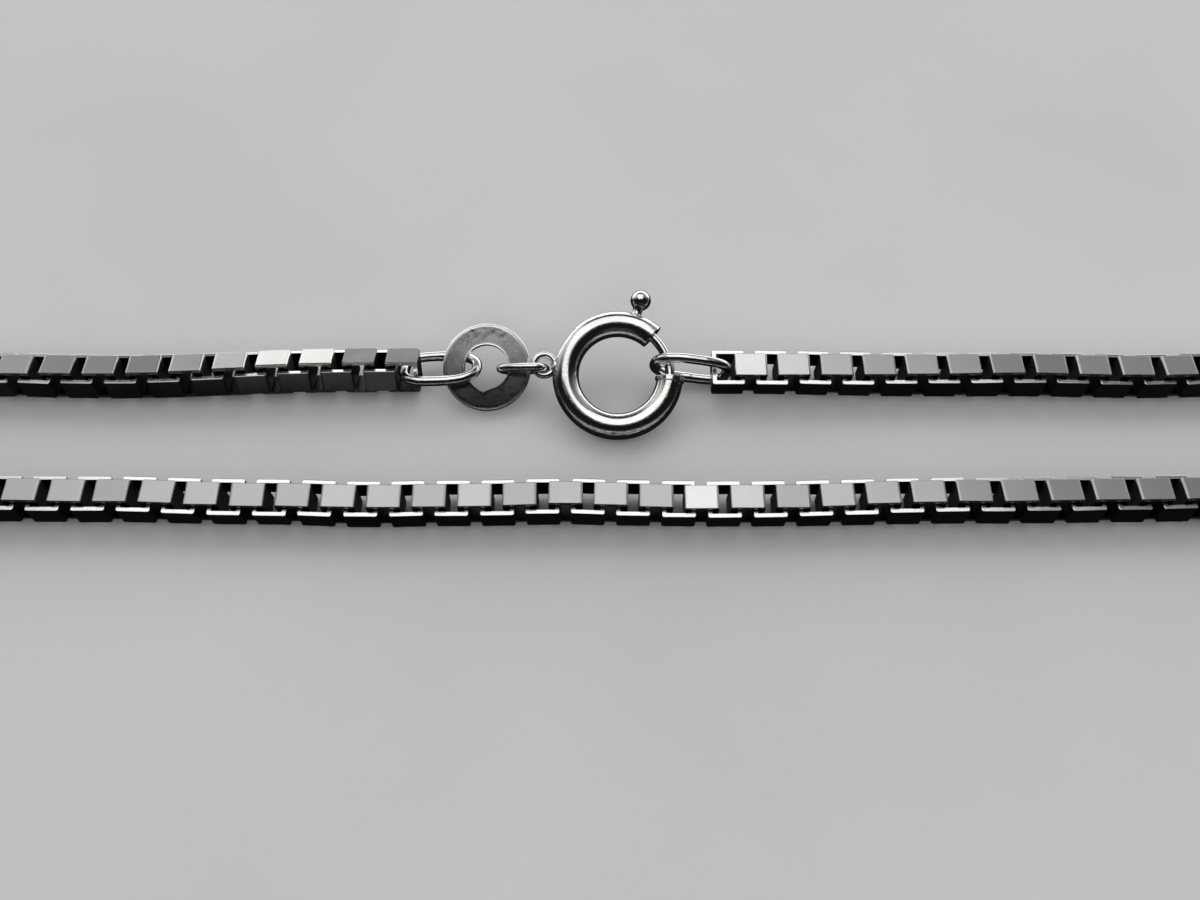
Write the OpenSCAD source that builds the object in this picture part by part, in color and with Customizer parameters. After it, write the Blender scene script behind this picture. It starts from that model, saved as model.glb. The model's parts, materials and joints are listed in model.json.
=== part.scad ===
// Box chain necklace, fastened with a spring ring clasp and lying flat.
// X runs along the two strands, Y away from the viewer and Z up from the surface.

/* [Necklace] */
// Length of the closed necklace along the chain
necklace_length = 450; // [430:5:520]
// Straight length between the last link and the first bend
bend_lead = 1.5; // [1.3:0.1:2.5]
// Distance between the two straight strands, centre to centre
strand_gap = 6.6; // [6.4:0.1:8]
// Radius of the round loop at each end
end_loop_r = 22.5; // [20:0.5:25]
// Radius of the bends that lead into each round loop
neck_bend_r = 28; // [25:0.5:31]

/* [Box chain] */
// Width and height of the chain
chain_w = 1.8; // [1.7:0.02:2]
// Length of one link
link_l = 1.54; // [1.5:0.02:1.62]
// Thickness of the flat strip that each link is bent from
strip_t = 0.2; // [0.16:0.01:0.22]
// Outer bend radius at a link's corners
link_corner_r = 0.12; // [0.1:0.02:0.24]
// Gap between a link's plate and the strip edges of the next link
edge_clear = 0.13; // [0.12:0.01:0.16]
// Gap between the end walls of two links that hold each other
end_clear = 0.12; // [0.12:0.01:0.15]

/* [Spring ring clasp] */
// Outer diameter of the clasp
clasp_d = 6.2; // [6.1:0.1:6.5]
// Outer diameter of the clasp's tube
tube_d = 1.25; // [1.2:0.05:1.3]
// Diameter of the bolt wire
bolt_d = 0.46; // [0.4:0.02:0.48]
// Gap all round the bolt inside the tube
bolt_clear = 0.08; // [0.06:0.01:0.1]
// Angle at which the tube's upper end is cut
cut_angle = 48; // [44:1:52]
// Angle of the tube's lower mouth
mouth_angle = -2; // [-4:1:-1]
// Angle by which the bolt's nose reaches into the lower mouth
nose_angle = 8; // [6:1:10]
// Angle from the trigger's stem to the bolt's tail
tail_angle = 12; // [8:1:16]
// Angle of the trigger when the clasp is closed
trigger_angle = 73; // [70:1:78]
// Angle by which the bolt opens
open_angle = 57; // [52:1:57]
// Diameter of the trigger's stem
stem_d = 0.4; // [0.34:0.02:0.44]
// Gap on each side of the stem in its slot
stem_clear = 0.09; // [0.07:0.01:0.12]
// Diameter of the trigger's ball
ball_d = 0.98; // [0.8:0.02:1.1]
// Distance of the ball from the tube
ball_gap = 0.2; // [0.12:0.02:0.3]
// Angle of the flat beside the trigger
top_flat_angle = 63.5; // [62:0.5:65]
// Depth of the flat beside the trigger
top_flat_depth = 0.13; // [0.08:0.01:0.16]
// Angle of the flat above the soldered loop
side_flat_angle = 145; // [142:1:148]
// Depth of the flat above the soldered loop
side_flat_depth = 0.2; // [0.12:0.01:0.22]
// How far the mouth's collar stands out round the tube
collar_lip = 0.07; // [0.04:0.01:0.1]
// Angle that the mouth's collar covers
collar_angle = 5; // [3:1:8]
// Outer diameter of the loop soldered to the clasp
loop_d = 1.36; // [1.32:0.02:1.42]
// Wire of the loop soldered to the clasp
loop_wire = 0.3; // [0.24:0.02:0.32]
// How far the soldered loop sinks into the tube
loop_sink = 0.26; // [0.22:0.01:0.27]
// Angle of the soldered loop
loop_angle = 172; // [170:1:178]
// Tilt of the clasp, its far side up
clasp_tilt = 21; // [19:1:23]
// How far the line of the rings lies behind its straight strand
ring_shift = 0.07; // [0.04:0.01:0.1]
// How far the clasp's centre lies in front of the line of the rings
clasp_forward = 0.6; // [0.54:0.01:0.64]

/* [Rings] */
// Outer length of the two end rings
end_ring_l = 3.95; // [3.85:0.05:4.1]
// Outer width of the two end rings
end_ring_w = 2.5; // [2.46:0.02:2.6]
// Wire of the two end rings
end_ring_wire = 0.48; // [0.44:0.01:0.49]
// Outer length of the small ring at the clasp
clasp_ring_l = 2.5; // [2.44:0.02:2.6]
// Outer width of the small ring at the clasp
clasp_ring_w = 1.7; // [1.66:0.02:1.8]
// Wire of the small ring at the clasp
clasp_ring_wire = 0.38; // [0.34:0.01:0.4]
// Tilt of the left end ring, its near side up
left_ring_tilt = 22; // [18:1:24]
// Pitch of the right end ring, its clasp end up
right_ring_pitch = 8; // [7:1:9]
// Turn of the right end ring, its chain end nearer
right_ring_turn = 4; // [3:0.5:5]
// Lean of the right end ring, its top nearer
right_ring_lean = 6; // [4:1:8]
// Pitch of the small ring, its clasp end up
clasp_ring_pitch = 13; // [12:1:14]
// How squarely the rings are bent at their ends, from 2 for an ellipse
ring_fullness = 3.4; // [3.3:0.1:3.8]

/* [Tag] */
// Outer diameter of the tag
tag_d = 4.2; // [4.1:0.05:4.25]
// Diameter of the tag's hole
tag_hole_d = 2.12; // [2.06:0.02:2.2]
// Thickness of the tag
tag_t = 0.38; // [0.3:0.02:0.4]
// Tilt of the tag, its far side up
tag_tilt = 24; // [22:1:26]
// Height of the tag's near edge above the surface
tag_lift = 0.24; // [0.2:0.02:0.26]

/* [Fits] */
// Gap between the bolt and the end ring that it holds
bolt_ring_gap = 0.15; // [0.14:0.01:0.18]
// Gap between an end ring's tip and the link's end wall that it holds
hook_gap = 0.27; // [0.26:0.01:0.28]
// Gap between the small ring's wire and the tag's hole
tag_gap = 0.16; // [0.12:0.01:0.2]
// Play of the left end ring in the tag's hole
tag_play = 0.35; // [0.3:0.01:0.4]
// How far the small ring hangs below the middle of the clasp's loop
clasp_ring_drop = 0.1; // [0.06:0.01:0.12]
// Gap under the rings that stand on the surface
floor_gap = 0.02; // [0:0.01:0.04]

/* [Hidden] */
$fn = 48;

// The chain's own proportions
strip_w = chain_w - 2 * strip_t - 2 * edge_clear;
pitch = link_l - 2 * strip_t - end_clear;

// The closed loop: two straight strands, and at each end two bends and a round loop
half_gap = strand_gap / 2;
lead_angle = acos((half_gap + neck_bend_r) / (neck_bend_r + end_loop_r));
rad = PI / 180;
end_stretch = (2 * neck_bend_r * lead_angle + end_loop_r * (180 + 2 * lead_angle)) * rad;
half_strand = (necklace_length - 2 * end_stretch) / 4;
loop_centre_x = half_strand + (neck_bend_r + end_loop_r) * sin(lead_angle);

// The hand-chosen wander of the strands. Each row has its place as a share of the half
// strand, the shift of the strand away from its straight line, and the roll of the links.
chain_lower = [
    [-1, -0.12, -5], [-0.72, -0.18, -2], [-0.5, -0.32, 3.5], [-0.36, -0.42, 0], [-0.2, -0.36, 0],
    [-0.08, -0.3, -3], [0.15, -0.42, 4], [0.5, -0.26, -6], [1, -0.1, -6]
];
chain_upper = [
    [-1, -0.12, -2], [-0.75, -0.3, -10.5], [-0.4, 0.02, -22], [-0.3, 0.03, -22],
    [0.14, -0.16, 7], [0.6, -0.15, -5], [0.8, -0.24, -4], [1, -0.08, -4]
];
// Where the lower strand's first top plate lies
lower_start = -0.35;

// Clasp, with the line on which the rings and the tag lie
ring_y = half_gap + ring_shift;
clasp_mid_r = (clasp_d - tube_d) / 2;
bore_d = bolt_d + 2 * bolt_clear;
clasp_z = clasp_mid_r * sin(clasp_tilt) + tube_d / 2;
clasp_y = ring_y - clasp_forward;
trigger_r = clasp_d / 2 + ball_gap + ball_d / 2;
slot_w = stem_d + 2 * stem_clear;
nose_start = mouth_angle - nose_angle;
slot_margin = (stem_d / 2 + stem_clear) / (clasp_d / 2) / rad;
loop_r = clasp_d / 2 + loop_d / 2 - loop_sink;
flats = [[top_flat_angle, top_flat_depth], [side_flat_angle, side_flat_depth]];

// The run of rings from the clasp to the left chain
loop_x = loop_r * cos(loop_angle);
clasp_ring_half = (clasp_ring_l - clasp_ring_wire) / 2;
clasp_ring_x = loop_x - clasp_ring_half * cos(clasp_ring_pitch);
clasp_ring_y = clasp_y + loop_r * sin(loop_angle) * cos(clasp_tilt);
clasp_ring_z = clasp_z + loop_r * sin(loop_angle) * sin(clasp_tilt)
    - clasp_ring_half * sin(clasp_ring_pitch) - clasp_ring_drop;
tag_x = clasp_ring_x - clasp_ring_half * cos(clasp_ring_pitch) + clasp_ring_wire / 2
    + tag_gap - tag_hole_d / 2;
tag_z = tag_lift + tag_d / 2 * sin(tag_tilt) + tag_t / 2 * cos(tag_tilt);
end_ring_half = (end_ring_l - end_ring_wire) / 2;
left_ring_x = tag_x - tag_hole_d / 2 + tag_play + end_ring_wire / 2 - end_ring_half;
left_wall_x = left_ring_x - end_ring_half + end_ring_wire / 2 + hook_gap;
left_first_x = left_wall_x + strip_t - link_l / 2;
left_link_z = lying_z(wander(chain_upper, left_first_x, 2));
left_ring_z = (left_link_z + tag_z) / 2;
left_ring_pitch = asin((tag_z - left_link_z) / (2 * end_ring_half));

// The run from the bolt to the right chain
bolt_cross_y = (ring_y - clasp_y) / cos(clasp_tilt);
bolt_cross_x = sqrt(clasp_mid_r * clasp_mid_r - bolt_cross_y * bolt_cross_y);
right_ring_run = end_ring_half * cos(right_ring_pitch) * cos(right_ring_turn);
right_ring_x = bolt_cross_x - bolt_d / 2 - bolt_ring_gap - end_ring_wire / 2 + right_ring_run;
right_ring_y = ring_y - right_ring_run * tan(right_ring_turn);
right_ring_depth = oval_reach(end_ring_half, (end_ring_w - end_ring_wire) / 2, right_ring_pitch);
right_ring_z = right_ring_depth + end_ring_wire / 2 + floor_gap;
right_wall_x = right_ring_x + right_ring_run - end_ring_wire / 2 - hook_gap;
right_first_x = right_wall_x - strip_t + link_l / 2;
right_wall_z = right_ring_z - (right_wall_x - right_ring_x) * tan(right_ring_pitch);
right_lift = right_wall_z - lying_z(wander(chain_upper, right_first_x, 2));

// How far along a straight strand its last link's centre may lie
link_reach = half_strand - link_l / 2 - bend_lead;
// Over how many links the right chain comes down from its ring
lift_links = 12;

// One value from a table of the strands' wander, blended smoothly between its rows
function blend(a, b, s) = a + (b - a) * (3 - 2 * s) * s * s;
function row_before(rows, s) = max([for (i = [0:len(rows) - 2]) rows[i][0] <= s ? i : 0]);
function wander(rows, x, column) =
    let (
        s = max(-1, min(1, x / half_strand)),
        i = row_before(rows, s),
        share = (s - rows[i][0]) / (rows[i + 1][0] - rows[i][0])
    ) blend(rows[i][column], rows[i + 1][column], share);

// Height of a chain's centre when it lies rolled on its corner
function lying_z(roll) = chain_w / 2 * cos(roll) + strip_w / 2 * sin(abs(roll));

// How far an upper link is lifted by the right end ring
function lift_at(x) =
    let (share = (x - right_first_x) / (lift_links * pitch))
        share < 0 || share > 1 ? 0 : blend(right_lift, 0, share);

// How far below its centre the wire's centre line of a pitched oval ring reaches
function oval_reach(a, b, lean) =
    let (m = ring_fullness / (ring_fullness - 1))
        pow(pow(a * sin(lean), m) + pow(b * cos(lean), m), 1 / m);

// A point on the middle of a strand, the nearer strand with side -1
function strand_point(x, side, rows) = [
    x,
    side * half_gap + wander(rows, x, 1),
    lying_z(wander(rows, x, 2)) + (side > 0 ? lift_at(x) : 0)
];

// The flat outline of a link, a bent strip with rounded corners
module link_outline() {
    straight = [link_l - 2 * link_corner_r, chain_w - 2 * link_corner_r];
    difference() {
        union() {
            square([link_l, straight[1]], center = true);
            square([straight[0], chain_w], center = true);
            for (i = [-1, 1], j = [-1, 1])
                translate([i * straight[0] / 2, j * straight[1] / 2]) circle(r = link_corner_r);
        }
        square([link_l - 2 * strip_t, chain_w - 2 * strip_t], center = true);
    }
}

// A link with its opening up, or turned so that a plate is on top
module link(plate_up) {
    rotate([plate_up ? 90 : 0, 0, 0])
        linear_extrude(strip_w, center = true) link_outline();
}

// One link on a strand, following the strand's shift, roll and lift
module placed_link(x, side, rows, plate_up) {
    here = strand_point(x, side, rows);
    way = strand_point(x + pitch, side, rows) - here;
    translate(here)
        rotate([wander(rows, x, 2), -atan2(way[2], pitch), atan2(way[1], pitch)])
            link(plate_up);
}

module chain_front() {
    color("silver") {
        for (i = [0:floor((link_reach + left_first_x) / pitch)])
            placed_link(left_first_x - i * pitch, 1, chain_upper, i % 2 == 0);
        for (i = [0:floor((link_reach - right_first_x) / pitch)])
            placed_link(right_first_x + i * pitch, 1, chain_upper, i % 2 == 1);
        for (i = [-floor((link_reach + lower_start) / pitch):floor((link_reach - lower_start) / pitch)])
            placed_link(lower_start + i * pitch, -1, chain_lower, i % 2 == 0);
    }
}

// Where each of the four stretches of links stops, and so where the tubes begin
function last_x(first, reach) = first + floor((reach - first) / pitch) * pitch + link_l / 2 + end_clear;

// The path of the hidden stretch on the right: points with their heading
bend_steps = 6;
loop_steps = 25;
function end_path(upper_x, lower_x) = concat(
    [[upper_x, half_gap, 0]],
    [for (i = [0:bend_steps])
        let (a = lead_angle * i / bend_steps)
            [half_strand + neck_bend_r * sin(a), half_gap + neck_bend_r * (1 - cos(a)), a]],
    [for (i = [1:loop_steps])
        let (a = lead_angle - (180 + 2 * lead_angle) * i / loop_steps)
            [loop_centre_x - end_loop_r * sin(a), end_loop_r * cos(a), a]],
    [for (i = [bend_steps - 1:-1:0])
        let (a = lead_angle * i / bend_steps)
            [half_strand + neck_bend_r * sin(a), -half_gap - neck_bend_r * (1 - cos(a)), 180 - a]],
    [[lower_x, -half_gap, 180]]
);

// The chain's outline across, a square with cut corners
tube_section = [
    [strip_w, -chain_w], [chain_w, -strip_w], [chain_w, strip_w], [strip_w, chain_w],
    [-strip_w, chain_w], [-chain_w, strip_w], [-chain_w, -strip_w], [-strip_w, -chain_w]
] / 2;

// A solid skin over a list of equal rings of points, closed on itself or capped at both ends
module skin(rings, closed) {
    sides = len(rings[0]);
    last = len(rings) - 1;
    walls = [for (i = [0:closed ? last : last - 1], j = [0:sides - 1])
        let (k = (j + 1) % sides, n = (i + 1) % (last + 1))
            [i * sides + j, i * sides + k, n * sides + k, n * sides + j]];
    caps = closed ? [] : [
        [for (j = [sides - 1:-1:0]) j],
        [for (j = [0:sides - 1]) last * sides + j]
    ];
    polyhedron([for (ring = rings) each ring], concat(walls, caps), convexity = 8);
}

// A tube of the chain's outline swept along a path of points with headings
module swept_tube(path) {
    skin([for (p = path) [for (q = tube_section)
        [p[0] - q[0] * sin(p[2]), p[1] + q[0] * cos(p[2]), chain_w / 2 + q[1]]]], false);
}

module chain_ends() {
    color("silver") {
        swept_tube(end_path(last_x(right_first_x, link_reach), last_x(lower_start, link_reach)));
        mirror([1, 0, 0])
            swept_tube(end_path(last_x(-left_first_x, link_reach), last_x(-lower_start, link_reach)));
    }
}

// A number raised to a share of itself with its sign kept
function bent(value, power) = sign(value) * pow(abs(value), power);

// A full oval ring of round wire lying flat
ring_steps = 40;
wire_sides = 12;
module oval_ring(length, width, wire) {
    a = (length - wire) / 2;
    b = (width - wire) / 2;
    skin([for (i = [0:ring_steps - 1])
        let (
            turn = 360 * (i + 0.5) / ring_steps,
            x = bent(cos(turn), 2 / ring_fullness),
            y = bent(sin(turn), 2 / ring_fullness),
            slope = [bent(x, ring_fullness - 1) / a, bent(y, ring_fullness - 1) / b],
            out = slope / norm(slope)
        ) [for (j = [0:wire_sides - 1])
            let (u = 360 * j / wire_sides, r = wire / 2)
                [a * x - out[0] * cos(u) * r, b * y - out[1] * cos(u) * r, sin(u) * r]
        ]
    ], true);
}

// A round wire bent along an arc
module wire_arc(r, wire, start, sweep) {
    rotate_extrude(angle = sweep, start = start) translate([r, 0]) circle(d = wire);
}

// Puts a piece in the plane of the clasp, on its centre
module in_clasp_plane() {
    translate([0, clasp_y, clasp_z]) rotate([clasp_tilt, 0, 0]) children();
}

module clasp_body() {
    color("gainsboro") in_clasp_plane() difference() {
        union() {
            difference() {
                wire_arc(clasp_mid_r, tube_d, cut_angle, 360 + mouth_angle - cut_angle);
                for (flat = flats) rotate([0, 0, flat[0]])
                    translate([clasp_d / 2 - flat[1], -clasp_d / 2, -tube_d])
                        cube([tube_d, clasp_d, 2 * tube_d]);
            }
            wire_arc(clasp_mid_r, tube_d + 2 * collar_lip, mouth_angle - collar_angle, collar_angle);
            rotate([0, 0, loop_angle]) translate([loop_r, 0, 0])
                rotate_extrude() translate([(loop_d - loop_wire) / 2, 0]) circle(d = loop_wire);
        }
        rotate_extrude() translate([clasp_mid_r, 0]) circle(d = bore_d);
        rotate_extrude(angle = open_angle + 2 * slot_margin, start = trigger_angle - slot_margin)
            translate([clasp_mid_r, -slot_w / 2]) square([tube_d, slot_w]);
    }
}

module clasp_bolt() {
    color("silver") in_clasp_plane() {
        wire_arc(clasp_mid_r, bolt_d, nose_start, trigger_angle + tail_angle - nose_start);
        rotate([0, 0, trigger_angle]) {
            translate([clasp_mid_r, 0, 0]) rotate([0, 90, 0])
                cylinder(d = stem_d, h = trigger_r - clasp_mid_r);
            translate([trigger_r, 0, 0]) sphere(d = ball_d);
        }
    }
}

module tag_ring() {
    color("lightgray") translate([tag_x, ring_y, tag_z]) rotate([tag_tilt, 0, 0]) difference() {
        cylinder(d = tag_d, h = tag_t, center = true);
        cylinder(d = tag_hole_d, h = 2 * tag_t, center = true);
    }
}

module clasp_ring() {
    color("silver") translate([clasp_ring_x, clasp_ring_y, clasp_ring_z])
        rotate([tag_tilt, 0, 0]) rotate([90, -clasp_ring_pitch, 0])
            oval_ring(clasp_ring_l, clasp_ring_w, clasp_ring_wire);
}

module end_ring_left() {
    color("silver") translate([left_ring_x, ring_y, left_ring_z])
        rotate([0, -left_ring_pitch, 0]) rotate([-left_ring_tilt, 0, 0])
            oval_ring(end_ring_l, end_ring_w, end_ring_wire);
}

module end_ring_right() {
    color("silver") translate([right_ring_x, right_ring_y, right_ring_z])
        rotate([90 + right_ring_lean, right_ring_pitch, -right_ring_turn])
            oval_ring(end_ring_l, end_ring_w, end_ring_wire);
}

clasp_body();
clasp_bolt();
tag_ring();
clasp_ring();
end_ring_left();
end_ring_right();
chain_front();
chain_ends();
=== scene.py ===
import json
import math
import random
import bmesh
import bpy
from mathutils import Matrix, Vector


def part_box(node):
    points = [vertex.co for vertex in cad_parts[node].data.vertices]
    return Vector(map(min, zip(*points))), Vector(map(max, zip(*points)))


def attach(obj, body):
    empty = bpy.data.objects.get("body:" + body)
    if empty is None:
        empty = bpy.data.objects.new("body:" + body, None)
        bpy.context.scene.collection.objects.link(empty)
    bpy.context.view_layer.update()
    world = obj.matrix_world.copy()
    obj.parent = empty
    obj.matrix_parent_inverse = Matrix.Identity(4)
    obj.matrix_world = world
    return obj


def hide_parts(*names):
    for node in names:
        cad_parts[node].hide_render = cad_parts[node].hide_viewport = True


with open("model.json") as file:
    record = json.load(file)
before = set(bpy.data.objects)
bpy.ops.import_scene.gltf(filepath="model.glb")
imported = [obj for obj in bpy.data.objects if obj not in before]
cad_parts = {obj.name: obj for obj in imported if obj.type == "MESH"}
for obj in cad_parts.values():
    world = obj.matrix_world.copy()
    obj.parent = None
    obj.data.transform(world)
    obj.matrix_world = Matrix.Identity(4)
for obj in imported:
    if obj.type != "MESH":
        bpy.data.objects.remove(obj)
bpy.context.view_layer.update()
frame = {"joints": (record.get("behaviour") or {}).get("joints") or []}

mm = 0.001  # every size below is in millimetres until a mesh is finished
mergeGap = 0.0005  # corners closer than this are one
rootBody = "necklace"
boltBody = "bolt"


def addObject(name, data):
    thing = bpy.data.objects.new(name, data)
    bpy.context.scene.collection.objects.link(thing)
    return thing


# Camera: a close view from the front, 62 degrees down
cameraSet = {
    "place": (-0.84, -27.1, 50.2),
    "aim": (-0.84, -0.93, 0.9),
    "lens": 36.0,
    "sensor": 36.0,
    "clipStart": 1.0,
}


def makeCamera():
    data = bpy.data.cameras.new("view_camera")
    data.lens = cameraSet["lens"]
    data.sensor_width = cameraSet["sensor"]
    data.clip_start = cameraSet["clipStart"] * mm
    camera = addObject("view_camera", data)
    place = Vector(cameraSet["place"]) * mm
    aim = Vector(cameraSet["aim"]) * mm
    camera.location = place
    camera.rotation_euler = (aim - place).to_track_quat("-Z", "Y").to_euler()
    bpy.context.scene.camera = camera


makeCamera()
print("camera placed")


# Small helpers for placing, joining and finishing meshes
def turned(angle, axis):
    return Matrix.Rotation(math.radians(angle), 4, axis)


def moved(x, y, z):
    return Matrix.Translation((x, y, z))


def placed(bm, place, verts=None):
    bmesh.ops.transform(bm, matrix=place, verts=bm.verts[:] if verts is None else verts)


def centreOf(node):
    low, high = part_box(node)
    return (low + high) / (2 * mm)


def blend(a, b, share):
    return a + (b - a) * (3 - 2 * share) * share * share


def clamp(value, low, high):
    return max(low, min(high, value))


# Distance from the Z axis, and angle round it in degrees
def polar(point):
    return math.hypot(point.x, point.y), math.degrees(math.atan2(point.y, point.x)) % 360


def newMesh(bm, name):
    mesh = bpy.data.meshes.new(name)
    bm.to_mesh(mesh)
    bm.free()
    return mesh


def joinTo(bm, other):
    mesh = newMesh(other, "part")
    bm.from_mesh(mesh)
    bpy.data.meshes.remove(mesh)


def finishObject(bm, name, material):
    mesh = newMesh(bm, name)
    mesh.transform(Matrix.Scale(mm, 4))
    mesh.materials.append(material)
    return addObject(name, mesh)


def finishPiece(bm, name, material, node, body=rootBody, sharpAngle=35):
    piece = finishObject(bm, name, material)
    piece.data.shade_smooth()
    piece.data.set_sharp_from_angle(angle=math.radians(sharpAngle))
    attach(piece, body)
    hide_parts(node)
    print("made", name, len(piece.data.polygons), "faces")


# A circle of wire on the X axis, standing across the turn about Z, ready to be spun
def wireSection(bm, centreR, wireR, sides, startAngle=0):
    bmesh.ops.create_circle(bm, segments=sides, radius=wireR)
    placed(bm, turned(startAngle, "Z") @ moved(centreR, 0, 0) @ turned(90, "X"))


def spinAll(bm, angle, steps, axis=(0, 0, 1)):
    bmesh.ops.spin(bm, geom=bm.verts[:] + bm.edges[:], cent=(0, 0, 0), axis=axis, dvec=(0, 0, 0),
                   angle=math.radians(angle), steps=steps, use_merge=angle == 360)
    bmesh.ops.remove_doubles(bm, verts=bm.verts[:], dist=mergeGap)
    bmesh.ops.recalc_face_normals(bm, faces=bm.faces[:])


# A profile of (distance along X, radius) points turned about the X axis
def turnedProfile(bm, points, steps):
    verts = [bm.verts.new((x, 0, r)) for x, r in points]
    for first, second in zip(verts, verts[1:]):
        bm.edges.new((first, second))
    spinAll(bm, 360, steps, axis=(1, 0, 0))


def roundEdges(bm, edges, offset, steps):
    bmesh.ops.bevel(bm, geom=edges, offset=offset, offset_type="OFFSET", affect="EDGES",
                    segments=steps, profile=0.5, material=-1)


# Helpers for shader trees: a socket is linked from another one, or set to a number, list or colour
def feed(tree, socket, value):
    if isinstance(value, bpy.types.NodeSocket):
        tree.links.new(value, socket)
    elif isinstance(value, tuple):
        socket.default_value = (*value, 1.0)
    else:
        socket.default_value = value


def addNode(tree, kind, fed=None, **settings):
    node = tree.nodes.new(kind)
    for key, value in settings.items():
        setattr(node, key, value)
    for key, value in (fed or {}).items():
        feed(tree, node.inputs[key], value)
    return node


def addNoise(tree, vector, scale, detail, roughness=0.5):
    fed = {"Vector": vector, "Scale": scale, "Detail": detail, "Roughness": roughness}
    return addNode(tree, "ShaderNodeTexNoise", fed).outputs["Fac"]


def addRange(tree, value, low, high, toLow=0.0, toHigh=1.0):
    fed = {"Value": value, "From Min": low, "From Max": high, "To Min": toLow, "To Max": toHigh}
    return addNode(tree, "ShaderNodeMapRange", fed).outputs["Result"]


def addMath(tree, operation, *values):
    return addNode(tree, "ShaderNodeMath", dict(enumerate(values)), operation=operation).outputs[0]


def addMix(tree, share, first, second):
    return addNode(tree, "ShaderNodeMix", {0: share, 2: first, 3: second}, data_type="FLOAT").outputs[0]


def addColours(tree, share, first, second):
    return addNode(tree, "ShaderNodeMix", {0: share, 6: first, 7: second}, data_type="RGBA").outputs[2]


def addMapping(tree, turn=(0, 0, 0), stretch=(1, 1, 1)):
    place = addNode(tree, "ShaderNodeTexCoord").outputs["Object"]
    fed = {"Vector": place, "Rotation": [math.radians(a) for a in turn], "Scale": list(stretch)}
    return addNode(tree, "ShaderNodeMapping", fed).outputs["Vector"]


# Shader groups: each one only gives masks and heights that change over the surface
def newGroup(name, outputs):
    tree = bpy.data.node_groups.new(name, "ShaderNodeTree")
    tree.interface.new_socket(name="Scale", in_out="INPUT", socket_type="NodeSocketFloat")
    for label in outputs:
        tree.interface.new_socket(name=label, in_out="OUTPUT", socket_type="NodeSocketFloat")
    scale = tree.nodes.new("NodeGroupInput").outputs["Scale"]
    return tree, scale, tree.nodes.new("NodeGroupOutput").inputs


grainSet = {"detail": 4, "roughness": 0.6, "mask": (0.35, 0.65)}


def makeGrainGroup():
    tree, scale, leave = newGroup("fineGrain", ["Height", "Mask"])
    fine = addNoise(tree, addMapping(tree), scale, grainSet["detail"], grainSet["roughness"])
    feed(tree, leave["Height"], fine)
    feed(tree, leave["Mask"], addRange(tree, fine, *grainSet["mask"]))
    return tree


scratchSet = {
    "detail": 1,
    "level": 0.5,  # of the noise, along which a line runs
    "width": 0.012,  # in the noise's values
    # Turn and stretch of each lot of scratches
    "lots": [((0, 0, 24), (1, 16, 16)), ((10, 0, -52), (1, 22, 22)), ((0, 35, 81), (1, 18, 18))],
}


def makeScratchGroup():
    tree, scale, leave = newGroup("handlingScratches", ["Mask"])
    mask = 0.0
    for turn, stretch in scratchSet["lots"]:
        field = addNoise(tree, addMapping(tree, turn, stretch), scale, scratchSet["detail"])
        away = addMath(tree, "ABSOLUTE", addMath(tree, "SUBTRACT", field, scratchSet["level"]))
        mask = addMath(tree, "MAXIMUM", mask, addRange(tree, away, 0.0, scratchSet["width"], 1.0, 0.0))
    feed(tree, leave["Mask"], mask)
    return tree


patchSet = {"detail": 3, "roughness": 0.55, "mask": (0.42, 0.66)}


def makePatchGroup():
    tree, scale, leave = newGroup("dullPatches", ["Mask"])
    field = addNoise(tree, addMapping(tree), scale, patchSet["detail"], patchSet["roughness"])
    feed(tree, leave["Mask"], addRange(tree, field, *patchSet["mask"]))
    return tree


brushSet = {"detail": 3, "stretch": (9, 1, 3)}


def makeBrushGroup():
    tree, scale, leave = newGroup("brushedLines", ["Height"])
    field = addNoise(tree, addMapping(tree, stretch=brushSet["stretch"]), scale, brushSet["detail"])
    feed(tree, leave["Height"], field)
    return tree


grainGroup = makeGrainGroup()
scratchGroup = makeScratchGroup()
patchGroup = makePatchGroup()
brushGroup = makeBrushGroup()
print("shader groups made")


# Helpers that build a material around its own Principled shader
def startMaterial(name, metallic):
    material = bpy.data.materials.new(name)
    material.use_nodes = True
    tree = material.node_tree
    inputs = tree.nodes["Principled BSDF"].inputs
    inputs["Metallic"].default_value = metallic
    return material, tree, inputs


def addGroup(tree, group, scale):
    return addNode(tree, "ShaderNodeGroup", {"Scale": scale}, node_tree=group).outputs


def addBump(tree, inputs, height, depth, strength):
    fed = {"Height": height, "Distance": depth * mm, "Strength": strength}
    feed(tree, inputs["Normal"], addNode(tree, "ShaderNodeBump", fed).outputs["Normal"])


def faceValue(tree, name):
    return addNode(tree, "ShaderNodeAttribute", attribute_name=name).outputs["Fac"]


polishSet = {
    "bright": (0.93, 0.92, 0.90),
    "darkerTone": (0.62, 0.61, 0.59),
    "dark": (0.055, 0.052, 0.05),  # painted shade and tarnish inside the tube
    "roughness": (0.05, 0.14),
    "patchScale": 650.0,
    "patchColour": 0.2,  # how far a patch dulls the colour
    "patchHaze": 0.4,  # how far it roughens
    "scratchScale": 800.0,
    "scratchDepth": 0.0012,
    "grainScale": 7000.0,
    "grainHaze": 0.35,
    "grainHeight": 0.5,  # against the depth of a scratch
    "bump": 0.6,
}


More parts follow.
